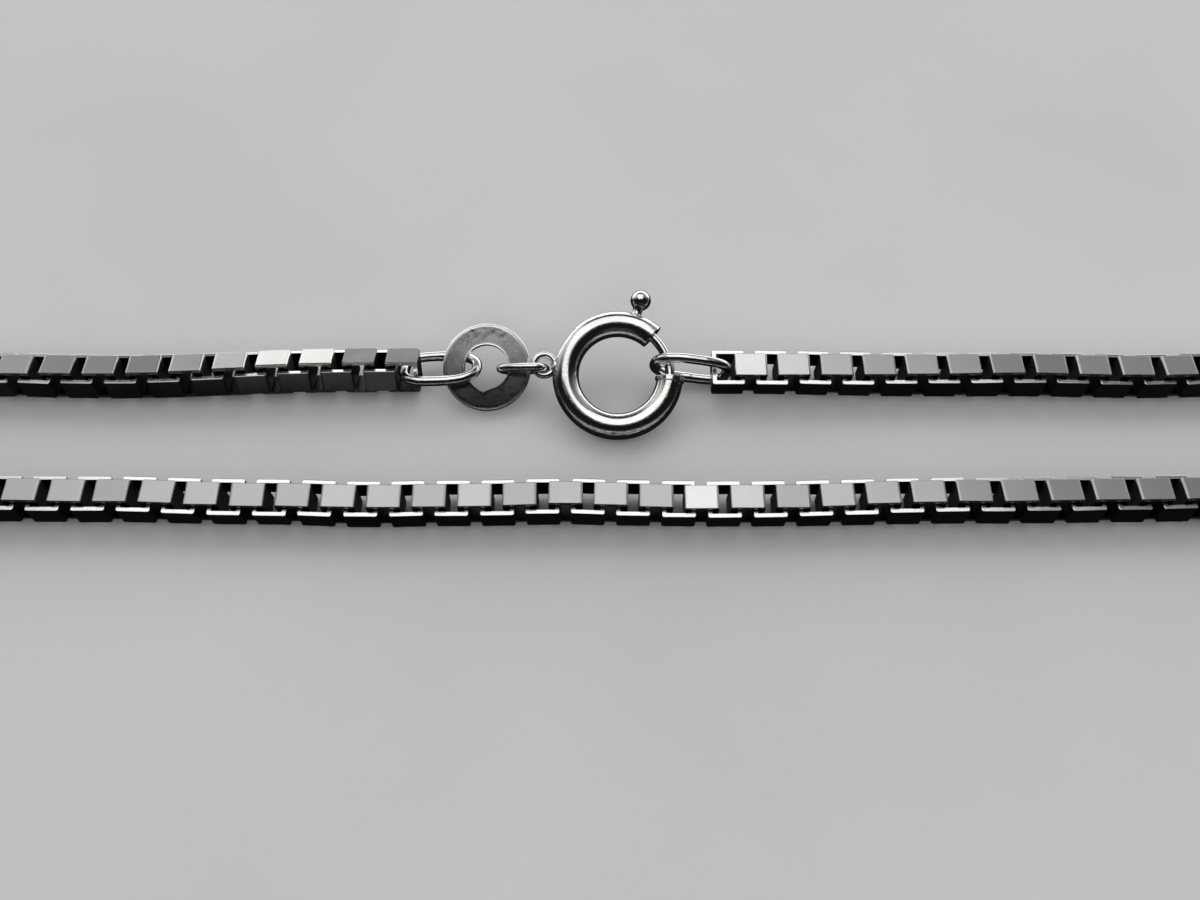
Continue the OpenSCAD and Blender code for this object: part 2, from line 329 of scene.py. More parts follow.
def makePolishedSilver():
    look = polishSet
    material, tree, inputs = startMaterial("polishedSilver", 1.0)
    patches = addGroup(tree, patchGroup, look["patchScale"])["Mask"]
    scratches = addGroup(tree, scratchGroup, look["scratchScale"])["Mask"]
    grain = addGroup(tree, grainGroup, look["grainScale"])
    wear = addMath(tree, "MULTIPLY", patches, look["patchColour"])
    colour = addColours(tree, wear, look["bright"], look["darkerTone"])
    # Faces inside the tube get a painted shade, with tarnish
    colour = addColours(tree, faceValue(tree, "inside"), colour, look["dark"])
    feed(tree, inputs["Base Color"], colour)
    haze = addMath(tree, "MULTIPLY", grain["Mask"], look["grainHaze"])
    haze = addMath(tree, "ADD", addMath(tree, "MULTIPLY", patches, look["patchHaze"]), haze)
    feed(tree, inputs["Roughness"], addRange(tree, haze, 0.0, 1.0, *look["roughness"]))
    height = addMath(tree, "MULTIPLY", grain["Height"], look["grainHeight"])
    height = addMath(tree, "SUBTRACT", height, scratches)
    addBump(tree, inputs, height, look["scratchDepth"], look["bump"])
    return material


satinSet = {
    "plate": (0.5, 0.495, 0.485),
    "darkerTone": (0.22, 0.217, 0.21),
    "brighterTone": (0.88, 0.875, 0.86),
    "edge": (0.96, 0.955, 0.94),
    "dark": (0.03, 0.029, 0.028),  # painted shade and tarnish inside a link
    "roughness": (0.32, 0.36),
    "edgePolish": 0.12,  # the edges are this much less rough
    "patchScale": 900.0,
    "patchColour": 0.12,
    "grainScale": 9000.0,
    "grainDepth": 0.0003,
    "brushScale": 1500.0,
    "brushHeight": 0.7,  # against the depth of the grain
    "bump": 0.7,
}


def makeSatinSilver():
    look = satinSet
    material, tree, inputs = startMaterial("satinSilver", 1.0)
    patches = addGroup(tree, patchGroup, look["patchScale"])["Mask"]
    grain = addGroup(tree, grainGroup, look["grainScale"])
    brushed = addGroup(tree, brushGroup, look["brushScale"])["Height"]
    edge = faceValue(tree, "edge")
    # A link's tone, from random variation, painted shade and painted reflections, runs between the darker
    # and brighter colour
    shade = addColours(tree, faceValue(tree, "shade"), look["darkerTone"], look["brighterTone"])
    wear = addMath(tree, "MULTIPLY", patches, look["patchColour"])
    colour = addColours(tree, wear, shade, look["plate"])
    colour = addColours(tree, edge, colour, look["edge"])
    # Faces inside a link get a painted shade, with tarnish
    colour = addColours(tree, faceValue(tree, "inside"), colour, look["dark"])
    feed(tree, inputs["Base Color"], colour)
    rough = addRange(tree, grain["Mask"], 0.0, 1.0, *look["roughness"])
    polish = addMath(tree, "MULTIPLY", edge, look["edgePolish"])
    feed(tree, inputs["Roughness"], addMath(tree, "SUBTRACT", rough, polish))
    height = addMath(tree, "MULTIPLY", brushed, look["brushHeight"])
    height = addMath(tree, "ADD", grain["Height"], height)
    addBump(tree, inputs, height, look["grainDepth"], look["bump"])
    return material


pittedSet = {
    "light": (0.42, 0.415, 0.405),
    "dark": (0.12, 0.117, 0.113),
    # The rims' bright polish, which also stands as a painted highlight
    "rim": (0.95, 0.945, 0.93),
    "low": (0.15, 0.147, 0.143),  # painted shade, towards the near edge
    "roughness": (0.26, 0.42),
    "patchScale": 700.0,
    "grainScale": 6500.0,
    "grainDepth": 0.004,
    "speckleScale": 14000.0,
    "speckle": (0.2, 0.9),  # how dark a patch is between and in its speckles
    "bump": 0.9,
}


def makePittedSilver():
    look = pittedSet
    material, tree, inputs = startMaterial("pittedSilver", 1.0)
    patches = addGroup(tree, patchGroup, look["patchScale"])["Mask"]
    grain = addGroup(tree, grainGroup, look["grainScale"])
    speckle = addGroup(tree, grainGroup, look["speckleScale"])["Mask"]
    dirt = addMath(tree, "MULTIPLY", patches, addRange(tree, speckle, 0.0, 1.0, *look["speckle"]))
    colour = addColours(tree, dirt, look["light"], look["dark"])
    # Painted shade, darker towards the near edge
    colour = addColours(tree, faceValue(tree, "low"), colour, look["low"])
    # Rims and steep faces: bright polish, and a painted highlight
    colour = addColours(tree, faceValue(tree, "edge"), colour, look["rim"])
    feed(tree, inputs["Base Color"], colour)
    feed(tree, inputs["Roughness"], addRange(tree, grain["Mask"], 0.0, 1.0, *look["roughness"]))
    addBump(tree, inputs, grain["Height"], look["grainDepth"], look["bump"])
    return material


polishedSilver = makePolishedSilver()
satinSilver = makeSatinSilver()
pittedSilver = makePittedSilver()
print("metals made")


# Box chain: one link is a bent strip, shaped once for each length of chain
linkSet = {
    "length": 1.54,
    "height": 1.8,
    "stripWide": 1.14,
    "stripThick": 0.2,
    "corner": 0.1,
    "cornerReach": 0.6,  # of the corner: from here on the inner side is a corner too
    "edgeSoftness": 0.038,
    "sharpAngle": 12,
}


# The strip's inner side has square corners
def squareInside(bm):
    outX, outY = linkSet["length"] / 2, linkSet["height"] / 2
    thick, reach = linkSet["stripThick"], linkSet["corner"] * linkSet["cornerReach"]
    for vert in bm.verts:
        if abs(vert.co.x) < outX - reach and abs(vert.co.y) < outY - reach:
            vert.co.x = math.copysign(outX - thick, vert.co.x)
            vert.co.y = math.copysign(outY - thick, vert.co.y)
    bmesh.ops.remove_doubles(bm, verts=bm.verts[:], dist=mergeGap)


# Faces that close the strip's width point along Z
def isRim(face):
    return abs(face.normal.z) > 0.5


def bendStrip(cornerSteps):
    bm = bmesh.new()
    bmesh.ops.create_cube(bm, size=1)
    placed(bm, Matrix.Diagonal((linkSet["length"], linkSet["height"], linkSet["stripWide"], 1)))
    bmesh.ops.delete(bm, geom=[f for f in bm.faces if isRim(f)], context="FACES_ONLY")
    corners = [e for e in bm.edges if abs(e.verts[0].co.z - e.verts[1].co.z) > linkSet["stripWide"] / 2]
    roundEdges(bm, corners, linkSet["corner"], cornerSteps)
    bmesh.ops.recalc_face_normals(bm, faces=bm.faces[:])
    bmesh.ops.solidify(bm, geom=bm.faces[:], thickness=linkSet["stripThick"])
    squareInside(bm)
    bm.normal_update()
    return bm


def makeLink(cornerSteps, edgeSteps):
    bm = bendStrip(cornerSteps)
    edgeMark = bm.faces.layers.float.new("edge")
    insideMark = bm.faces.layers.float.new("inside")
    bm.faces.layers.float.new("shade")
    # Faces inside the strip are marked for painted shade and tarnish, and the faces closing its width as
    # edges
    for face in bm.faces:
        outer = face.normal.dot(face.calc_center_median()) > 0
        face[edgeMark] = 1.0 if isRim(face) else 0.0
        face[insideMark] = 0.0 if isRim(face) or outer else 1.0
    lips = []
    for edge in bm.edges:
        first, second = edge.link_faces
        if first[edgeMark] != second[edgeMark] and first[insideMark] + second[insideMark] == 0:
            lips.append(edge)
    roundEdges(bm, lips, linkSet["edgeSoftness"], edgeSteps)
    return newMesh(bm, "link_shape")


def addLink(bm, shape, place, shade):
    firstVert, firstFace = len(bm.verts), len(bm.faces)
    bm.from_mesh(shape)
    bm.verts.ensure_lookup_table()
    bm.faces.ensure_lookup_table()
    placed(bm, place, bm.verts[firstVert:])
    mark = bm.faces.layers.float["shade"]
    for face in bm.faces[firstFace:]:
        face[mark] = shade


# The strands: each row has its place as a share of the half strand, a shift and a roll
routeSet = {
    "halfStrand": 31.59055,
    "halfGap": 3.3,
    "pitch": 1.02,
    "lower": [(-1, -0.12, -5), (-0.72, -0.18, -2), (-0.5, -0.32, 3.5), (-0.36, -0.42, 0), (-0.2, -0.36, 0),
              (-0.08, -0.3, -3), (0.15, -0.42, 4), (0.5, -0.26, -6), (1, -0.1, -6)],
    "upper": [(-1, -0.12, -2), (-0.75, -0.3, -10.5), (-0.4, 0.02, -22), (-0.3, 0.03, -22),
              (0.14, -0.16, 7), (0.6, -0.15, -5), (0.8, -0.24, -4), (1, -0.08, -4)],
    "lowerFirst": -0.35,
    "leftFirst": -10.2613,
    "rightFirst": 5.258,
    "linkReach": 29.33,  # how far from the middle the photographed links go
    "rightLift": 0.2217,  # of the first link at the bolt
    "liftLinks": 12,
}
shiftColumn, rollColumn = 1, 2


def wander(strand, x, column):
    rows = routeSet[strand]
    share = clamp(x / routeSet["halfStrand"], -1.0, 1.0)
    before = max(i for i in range(len(rows) - 1) if rows[i][0] <= share)
    first, second = rows[before], rows[before + 1]
    return blend(first[column], second[column], (share - first[0]) / (second[0] - first[0]))


def lyingZ(roll):
    lean = math.radians(abs(roll))
    return linkSet["height"] / 2 * math.cos(lean) + linkSet["stripWide"] / 2 * math.sin(lean)


def liftAt(x):
    share = (x - routeSet["rightFirst"]) / (routeSet["liftLinks"] * routeSet["pitch"])
    return blend(routeSet["rightLift"], 0.0, share) if 0 <= share <= 1 else 0.0


def strandPoint(strand, x):
    y = wander(strand, x, shiftColumn)
    z = lyingZ(wander(strand, x, rollColumn))
    if strand == "upper":
        return Vector((x, routeSet["halfGap"] + y, z + liftAt(x)))
    return Vector((x, y - routeSet["halfGap"], z))


# How far a link may be off at random: three angles in degrees, and its shade
jitterSet = {"roll": 1.1, "yaw": 0.7, "nod": 0.9, "shade": 0.1}


def jittered(chance, key):
    return chance.uniform(-jitterSet[key], jitterSet[key])


def linkPlace(centre, roll, nod, yaw, plateUp):
    place = Matrix.Translation(centre) @ turned(yaw, "Z") @ turned(nod, "Y") @ turned(roll, "X")
    return place @ turned(90, "X") if plateUp else place


# The number of links after the first one, to the right (way 1) or left (way -1)
def stepsOut(first, way):
    return int((routeSet["linkReach"] - way * first) / routeSet["pitch"])


def startChain(sizes):
    shape = makeLink(sizes["cornerSteps"], sizes["edgeSteps"])
    bm = bmesh.new()
    bm.from_mesh(shape)  # brings the marks, then is emptied
    bmesh.ops.delete(bm, geom=bm.verts[:], context="VERTS")
    return bm, shape, random.Random(sizes["seed"])


plainTone = 0.5  # 0 is the darker tone and 1 the brighter: random tone, painted shade and painted reflections

frontChainSet = {
    "seed": 11,
    "cornerSteps": 3,
    "edgeSteps": 3,
    "uprightShadeTone": 0.15,  # painted shade on links whose plates stand upright
    # Painted reflections, bright and dark: plates that the photo shows darker or brighter than the rest,
    # by strand and place
    "plateReflectionTones": {
        ("upper", -10): -0.1,
        ("upper", -12): 0.0,
        ("upper", -14): 1.3,
        ("upper", -16): 1.3,
        ("upper", -18): 0.9,
        ("upper", -20): 0.8,
        ("upper", 6): 1.6,
        ("upper", 8): 0.8,
        ("lower", 2): 0.55,
        ("lower", 4): 0.9,
        ("lower", 6): 0.75,
    },
}


# Strand and place of every front link, and whether its plates lie on top
def frontLinks():
    left, right, lower = routeSet["leftFirst"], routeSet["rightFirst"], routeSet["lowerFirst"]
    runs = [("upper", left, range(0, -stepsOut(left, -1) - 1, -1), 0),
            ("upper", right, range(stepsOut(right, 1) + 1), 1),
            ("lower", lower, range(-stepsOut(lower, -1), stepsOut(lower, 1) + 1), 0)]
    for strand, first, steps, parity in runs:
        for i in steps:
            yield strand, first + i * routeSet["pitch"], i % 2 == parity


def makeFrontChain():
    bm, shape, chance = startChain(frontChainSet)
    pitch = routeSet["pitch"]
    for strand, x, plateUp in frontLinks():
        here = strandPoint(strand, x)
        ahead = strandPoint(strand, x + pitch) - here
        nod = -math.degrees(math.atan2(ahead.z, pitch)) + jittered(chance, "nod")
        yaw = math.degrees(math.atan2(ahead.y, pitch)) + jittered(chance, "yaw")
        roll = wander(strand, x, rollColumn) + jittered(chance, "roll")
        # Links with upright plates get painted shade
        tone = plainTone if plateUp else frontChainSet["uprightShadeTone"]
        # A plate's tone holds a painted reflection where one is listed
        tone = frontChainSet["plateReflectionTones"].get((strand, round(x)), tone) + jittered(chance, "shade")
        addLink(bm, shape, linkPlace(here, roll, nod, yaw, plateUp), tone)
    finishPiece(bm, "box_chain_front", satinSilver, "chain_front",
                sharpAngle=linkSet["sharpAngle"])


makeFrontChain()

# The hidden stretches: from the last upper link round the loop to the last lower link
endChainSet = {
    "seed": 23,
    "cornerSteps": 2,
    "edgeSteps": 1,
    "neckBendR": 28.0,
    "endLoopR": 22.5,
    "easeLength": 12.0,  # over which a strand's shift and roll die away
    "jitter": 0.5,  # of the front links'
}


# A straight, a bend out, the loop, a bend back and a straight: gives a place at each length
def endPath(lead, tail):
    bendR, loopR = endChainSet["neckBendR"], endChainSet["endLoopR"]
    half = math.acos((routeSet["halfGap"] + bendR) / (bendR + loopR))
    parts = [(lead, 0.0), (bendR * half, 1 / bendR), (loopR * (math.pi + 2 * half), -1 / loopR),
             (bendR * half, 1 / bendR), (tail, 0.0)]

    def at(s):
        x, y, heading = routeSet["halfStrand"] - lead, routeSet["halfGap"], 0.0
        for length, bend in parts:
            step = clamp(s, 0.0, length)
            s -= length
            if bend:
                x += (math.sin(heading + step * bend) - math.sin(heading)) / bend
                y -= (math.cos(heading + step * bend) - math.cos(heading)) / bend
                heading += step * bend
            else:
                x += step * math.cos(heading)
                y += step * math.sin(heading)
        return x, y, heading
    return at, sum(length for length, bend in parts)


# What is left of the strands' shift or roll on a hidden stretch: each end has its strand, the place of
# its last link and how far along the path that is
def faded(ends, column):
    total = 0.0
    for strand, last, gone in ends:
        share = max(0.0, 1 - gone / endChainSet["easeLength"])
        total += blend(0, wander(strand, last, column), share)
    return total


def addEndRun(bm, shape, chance, way, upperFirst, upperParity):
    pitch, half, lowerFirst = routeSet["pitch"], routeSet["halfStrand"], routeSet["lowerFirst"]
    upperSteps, lowerSteps = stepsOut(upperFirst, way), stepsOut(lowerFirst, way)
    upperLast = way * upperFirst + upperSteps * pitch
    lowerLast = way * lowerFirst + lowerSteps * pitch
    upperUp = upperSteps % 2 == upperParity
    lowerUp = lowerSteps % 2 == 0
    at, total = endPath(half - upperLast, half - lowerLast)
    steps = round(total / pitch)
    if (steps % 2 == 0) != (upperUp == lowerUp):
        steps -= 1  # so that the last link crosses its neighbour
    looseness = endChainSet["jitter"]
    for i in range(1, steps):
        s = total * i / steps
        x, y, heading = at(s)
        ends = [("upper", way * upperLast, s), ("lower", way * lowerLast, total - s)]
        roll = faded(ends, rollColumn)
        centre = (way * x, y + faded(ends, shiftColumn), lyingZ(roll))
        roll += jittered(chance, "roll") * looseness
        nod = jittered(chance, "nod") * looseness
        yaw = (way * math.degrees(heading) + 90) % 180 - 90  # a link is the same turned half round
        yaw += jittered(chance, "yaw") * looseness
        tone = plainTone + jittered(chance, "shade")
        addLink(bm, shape, linkPlace(centre, roll, nod, yaw, upperUp == (i % 2 == 0)), tone)


def makeEndChain():
    bm, shape, chance = startChain(endChainSet)
    addEndRun(bm, shape, chance, 1, routeSet["rightFirst"], 1)
    addEndRun(bm, shape, chance, -1, routeSet["leftFirst"], 0)
    finishPiece(bm, "box_chain_ends", satinSilver, "chain_ends",
                sharpAngle=linkSet["sharpAngle"])


makeEndChain()


# Oval rings of round wire, bent squarely round a former
densePoints = 1440  # of an outline, before it is spaced evenly
draftScale = 10  # a ring is spun this much thinner, and grows to its wire when it is bent


def ringPoint(a, b, fullness, turn):
    x, y = math.cos(turn), math.sin(turn)
    power = 2 / (fullness[0] if x > 0 else fullness[1])
    return Vector((a * math.copysign(abs(x) ** power, x), b * math.copysign(abs(y) ** power, y)))


def evenRing(a, b, fullness, steps):
    dense = [ringPoint(a, b, fullness, math.tau * i / densePoints) for i in range(densePoints + 1)]
    lengths = [0.0]
    for first, second in zip(dense, dense[1:]):
        lengths.append(lengths[-1] + (second - first).length)
    points, j = [], 0
    for i in range(steps):
        goal = lengths[-1] * i / steps
        while lengths[j + 1] < goal:
            j += 1
        points.append(dense[j].lerp(dense[j + 1], (goal - lengths[j]) / (lengths[j + 1] - lengths[j])))
    return points


# The two fullness values are for the ends at +X and -X: 2 is an ellipse, and more is squarer
def makeOvalRing(sizes, seamAt, fullness):
    steps, wire = sizes["steps"], sizes["wire"]
    bm = bmesh.new()
    wireSection(bm, 1.0, wire / 2 / draftScale, sizes["sides"])
    spinAll(bm, 360, steps)
    path = evenRing((sizes["length"] - wire) / 2, (sizes["width"] - wire) / 2, fullness, steps)
    for vert in bm.verts:
        radius, angle = polar(vert.co)
        step = round(angle / 360 * steps) % steps
        here, after, before = path[step], path[(step + 1) % steps], path[step - 1]
        along = (after - before).normalized()
        out = Vector((along.y, -along.x))
        across = (radius - 1) * draftScale
        away = min(abs(step - seamAt), steps - abs(step - seamAt)) / sizes["seamSteps"]
        swell = 1 + sizes["seamSwell"] * math.exp(-away * away)
        vert.co = Vector((here.x + out.x * across * swell, here.y + out.y * across * swell,
                          vert.co.z * draftScale * swell))
    bm.faces.layers.float.new("inside")
    bmesh.ops.recalc_face_normals(bm, faces=bm.faces[:])
    return bm


endRingSet = {
    "length": 3.95,
    "width": 2.5,
    "wire": 0.48,
    "fullness": 3.4,
    "openFullness": 2.4,  # the end away from the chain is rounder
    "steps": 96,
    "sides": 24,
    "leftTilt": -22,
    "leftPitch": -3.63,
    "leftSeam": 24,  # the step where the ring is soldered shut
    "rightPitch": 8,
    "rightTurn": -4,
    "rightLean": 6,
    "rightSeam": 72,
    "seamSteps": 1.6,
    "seamSwell": 0.05,
}


def makeLeftRing():
    sizes = endRingSet
    bm = makeOvalRing(sizes, sizes["leftSeam"], (sizes["openFullness"], sizes["fullness"]))
    placed(bm, Matrix.Translation(centreOf("end_ring_left"))
           @ turned(sizes["leftPitch"], "Y") @ turned(sizes["leftTilt"], "X"))
    finishPiece(bm, "left_end_ring", polishedSilver, "end_ring_left")


def makeRightRing():
    sizes = endRingSet
    bm = makeOvalRing(sizes, sizes["rightSeam"], (sizes["fullness"], sizes["openFullness"]))
    placed(bm, Matrix.Translation(centreOf("end_ring_right")) @ turned(sizes["rightTurn"], "Z")
           @ turned(sizes["rightPitch"], "Y") @ turned(90 + sizes["rightLean"], "X"))
    finishPiece(bm, "right_end_ring", polishedSilver, "end_ring_right")


smallRingSet = {
    "length": 2.5,
    "width": 1.7,
    "wire": 0.38,
    "fullness": 3.4,
    "steps": 64,
    "sides": 18,
    "tilt": 24,
    "pitch": -13,
    "seam": 48,
    "seamSteps": 1.5,
    "seamSwell": 0.05,
}


def makeSmallRing():
    sizes = smallRingSet
    bm = makeOvalRing(sizes, sizes["seam"], (sizes["fullness"], sizes["fullness"]))
    placed(bm, Matrix.Translation(centreOf("clasp_ring")) @ turned(sizes["tilt"], "X")
           @ turned(sizes["pitch"], "Y") @ turned(90, "X"))
    finishPiece(bm, "small_clasp_ring", polishedSilver, "clasp_ring")


makeLeftRing()
makeRightRing()
makeSmallRing()

# Tag: a plain washer, crowned a little, with a corner worn into its hole
tagSet = {
    "outerR": 2.1,
    "holeR": 1.06,
    "thick": 0.38,
    "crown": 0.08,  # how far the top falls to the rim
    "edge": 0.15,
    "edgeRound": 0.3,  # of the edge, where its slope gets steeper
    "lip": 0.035,  # a burr round the hole
    "lipTop": 0.4,  # of the lip, where its flat top starts
    "lipFall": 0.6,  # of the lip, down to the washer's top
    "underEdge": 0.03,
    "steps": 144,
    "rings": 10,
    "tilt": 24,
    "notchAngle": 262,
    "notchDepth": 0.15,
    "notchWide": 34,
    "notchSteep": 0.55,  # of the width, on its steeper side
    "seed": 5,
    "pits": 26,
    "pitAngles": (60, 115),
    "pitRadii": (1.35, 1.95),
    "pitWidths": (0.04, 0.1),
    "pitDepth": 0.02,
    "pitShares": (0.06, 0.94),  # no pit reaches past these, from the hole to the edge
    "pitZ": 0.6,  # of half the thickness: only the top above this is pitted
    "lowTone": 0.35,  # of the painted shade in the middle
    "lowSlope": 0.35,  # more of it for each millimetre towards the near edge
    "flatNormal": 0.8,  # faces that slope more than this are polished, and painted bright as a highlight
}


def tagProfile():
    sizes = tagSet
    inner, outer, half = sizes["holeR"], sizes["outerR"], sizes["thick"] / 2
    edge, lip, soft = sizes["edge"], sizes["lip"], sizes["underEdge"]
    rim, near = half - sizes["crown"], edge * sizes["edgeRound"]
    far = edge - near
    return [(inner, -half + soft), (inner, half - lip), (inner + lip * sizes["lipTop"], half),
            (inner + lip, half), (inner + 2 * lip, half - lip * sizes["lipFall"]), (outer - edge, rim),
            (outer - near, rim - near), (outer, rim - far), (outer, -half + soft),
            (outer - soft, -half), (inner + soft, -half)]


def turnTag():
    bm = bmesh.new()
    verts = [bm.verts.new((x, 0, z)) for x, z in tagProfile()]
    loop = [bm.edges.new((verts[i], verts[(i + 1) % len(verts)])) for i in range(len(verts))]
    top, bottom = loop[4], loop[9]
    bmesh.ops.subdivide_edges(bm, edges=[top, bottom], cuts=tagSet["rings"] - 1)
    spinAll(bm, 360, tagSet["steps"])
    return bm


def wearTag(bm):
    sizes = tagSet
    chance = random.Random(sizes["seed"])
    pits = []
    for _ in range(sizes["pits"]):
        around = turned(chance.uniform(*sizes["pitAngles"]), "Z")
        out = Vector((chance.uniform(*sizes["pitRadii"]), 0, 0))
        pits.append(((around @ out).xy, chance.uniform(*sizes["pitWidths"])))
    lowShare, highShare = sizes["pitShares"]
    for vert in bm.verts:
        radius, angle = polar(vert.co)
        share = (radius - sizes["holeR"]) / (sizes["outerR"] - sizes["holeR"])
        away = (angle - sizes["notchAngle"]) / sizes["notchWide"]
        if away > 0:
            away /= sizes["notchSteep"]
        worn = max(0.0, 1 - abs(away)) * sizes["notchDepth"] * max(0.0, 1 - 2 * share)
        spot = vert.co.xy
        vert.co.xy = spot * ((radius + worn) / radius)
        if vert.co.z > sizes["thick"] / 2 * sizes["pitZ"] and lowShare < share < highShare:
            for pitSpot, pitWide in pits:
                vert.co.z -= sizes["pitDepth"] * math.exp(-((spot - pitSpot).length / pitWide) ** 2)


def markTag(bm):
    sizes = tagSet
    edgeMark = bm.faces.layers.float.new("edge")
    nearShadeMark = bm.faces.layers.float.new("low")
    bm.normal_update()
    for face in bm.faces:
        centre = face.calc_center_median()
        radius = polar(centre)[0]
        onEdge = radius > sizes["outerR"] - sizes["edge"] or radius < sizes["holeR"] + 2 * sizes["lip"]
        face[edgeMark] = 1.0 if onEdge or abs(face.normal.z) < sizes["flatNormal"] else 0.0
        face[nearShadeMark] = clamp(sizes["lowTone"] - sizes["lowSlope"] * centre.y, 0.0, 1.0)


def makeTag():
    bm = turnTag()
    wearTag(bm)
    markTag(bm)
    placed(bm, Matrix.Translation(centreOf("tag_ring")) @ turned(tagSet["tilt"], "X"))
    finishPiece(bm, "washer_tag", pittedSilver, "tag_ring")


makeTag()

# Clasp: all of it is shaped flat round the hinge, then tilted into place
claspSet = {
    "middleR": 2.475,
    "tubeR": 0.625,
    "wall": 0.315,
    "sides": 40,
    "steps": 248,
    "cutAngle": 48,
    "sweep": 310,
    "flats": ((63.5, 0.13), (145, 0.2)),  # angle and depth of each worn flat
    "flatReach": 30,  # degrees to each side
    "collarFrom": 352.8,
    "collarLip": 0.07,
    "slot": (67.2, 136),
    "slotHalf": 0.29,
    "softAngle": 60,
    "softness": 0.025,
    "softSteps": 2,
    "insideBelow": -0.1,  # faces that look this much towards the tube's middle get the painted shade
    "loopAngle": 172,
    "loopR": 3.52,
    "loopWire": 0.16,
    "loopMiddle": 0.5,
    "loopSides": 14,
    "loopSteps": 48,
    # Distance from the clasp's middle and radius, from the tube out to the loop
    "solderProfile": ((2.8, 0.0), (2.8, 0.42), (3.02, 0.40), (3.1, 0.33), (3.16, 0.24), (3.2, 0.13),
                      (3.22, 0.0)),
    "solderSteps": 24,
    "tilt": 21,
}
claspCentre = Vector(frame["joints"][0]["pos_m"]) / mm
claspPlace = Matrix.Translation(claspCentre) @ turned(claspSet["tilt"], "X")


def cutSlot(bm):
    sizes = claspSet
    slotFrom, slotTo = sizes["slot"]
    slot = []
    for face in bm.faces:
        centre = face.calc_center_median()
        radius, angle = polar(centre)
        if slotFrom < angle < slotTo and abs(centre.z) < sizes["slotHalf"] and radius > sizes["middleR"]:
            slot.append(face)
    bmesh.ops.delete(bm, geom=slot, context="FACES")


# The collar at the mouth is a little wider, and the outer side has its flats
def shapeTube(bm):
    sizes = claspSet
    swell = 1 + sizes["collarLip"] / sizes["tubeR"]
    for vert in bm.verts:
        radius, angle = polar(vert.co)
        if angle > sizes["collarFrom"]:
            radius = sizes["middleR"] + (radius - sizes["middleR"]) * swell
            vert.co.z *= swell
        for flatAngle, depth in sizes["flats"]:
            if abs(angle - flatAngle) < sizes["flatReach"]:
                flat = sizes["middleR"] + sizes["tubeR"] - depth
                radius = min(radius, flat / math.cos(math.radians(angle - flatAngle)))
        vert.co.x = radius * math.cos(math.radians(angle))
        vert.co.y = radius * math.sin(math.radians(angle))


# Faces that look into the tube's hollow are marked for its painted shade and tarnish
def markInsideShade(bm):
    mark = bm.faces.layers.float.new("inside")
    for face in bm.faces:
        centre = face.calc_center_median()
        middle = Vector((centre.x, centre.y, 0)).normalized() * claspSet["middleR"]
        face[mark] = 1.0 if face.normal.dot(centre - middle) < claspSet["insideBelow"] else 0.0


def makeTube():
    sizes = claspSet
    bm = bmesh.new()
    wireSection(bm, sizes["middleR"], sizes["tubeR"], sizes["sides"], sizes["cutAngle"])
    spinAll(bm, sizes["sweep"], sizes["steps"])
    cutSlot(bm)
    bmesh.ops.recalc_face_normals(bm, faces=bm.faces[:])
    bmesh.ops.solidify(bm, geom=bm.faces[:], thickness=sizes["wall"])
    shapeTube(bm)
    bm.normal_update()
    markInsideShade(bm)
    softAngle = math.radians(sizes["softAngle"])
    sharp = [e for e in bm.edges if len(e.link_faces) == 2 and e.calc_face_angle() > softAngle]
    roundEdges(bm, sharp, sizes["softness"], sizes["softSteps"])
    return bm


def makeLoop():
    sizes = claspSet
    bm = bmesh.new()
    wireSection(bm, sizes["loopMiddle"], sizes["loopWire"], sizes["loopSides"])
    spinAll(bm, 360, sizes["loopSteps"])
    placed(bm, turned(sizes["loopAngle"], "Z") @ moved(sizes["loopR"], 0, 0))
    return bm


def makeSolder():
    bm = bmesh.new()
    turnedProfile(bm, claspSet["solderProfile"], claspSet["solderSteps"])
    placed(bm, turned(claspSet["loopAngle"], "Z"))
    return bm


def makeClaspCase():
    bm = makeTube()
    joinTo(bm, makeLoop())
    joinTo(bm, makeSolder())
    placed(bm, claspPlace)
    finishPiece(bm, "spring_ring_case", polishedSilver, "clasp_body")


boltSet = {
    "wire": 0.23,
    "sides": 18,
    "steps": 48,
    "noseAngle": -10,
    "tailAngle": 85,
    "roundAngles": (30, 58, 80),  # steps of a rounded end, in degrees
    "rimReach": 1.2,  # of the wire: what lies nearer to an end's middle is its rim
    "triggerAngle": 73,
    "ballAt": 3.79,
    "ballR": 0.49,
    "ballAngles": range(-48, 91, 6),
    "flangeAt": 3.02,
    "stemSteps": 36,
    # Distance out from the flange and radius: root in the slot, flange, and neck up to the ball
    "stemProfile": ((-0.22, 0.1), (-0.1, 0.17), (-0.01, 0.2),
                    (0, 0.23), (0, 0.242), (0.02, 0.262), (0.045, 0.252), (0.06, 0.232),
                    (0.12, 0.225), (0.24, 0.23), (0.34, 0.262), (0.42, 0.31)),
}


def roundEnd(bm, angle, direction):
    wire = boltSet["wire"]
    spot = turned(angle, "Z") @ Vector((claspSet["middleR"], 0, 0))
    along = turned(angle, "Z") @ Vector((0, direction, 0))
    near = wire * boltSet["rimReach"]
    rim = [e for e in bm.edges if e.is_boundary and (e.verts[0].co - spot).length < near]
    last = 0.0
    for degrees in boltSet["roundAngles"]:
        lean = math.radians(degrees)
        grown = bmesh.ops.extrude_edge_only(bm, edges=rim)["geom"]
        rim = [g for g in grown if isinstance(g, bmesh.types.BMEdge)]
        verts = [g for g in grown if isinstance(g, bmesh.types.BMVert)]
        centre = sum((v.co for v in verts), Vector()) / len(verts)
        shrink = math.cos(lean) / math.cos(last)
        step = wire * (math.sin(lean) - math.sin(last))
        for vert in verts:
            vert.co = centre + (vert.co - centre) * shrink + along * step
        last = lean
    bmesh.ops.contextual_create(bm, geom=rim)


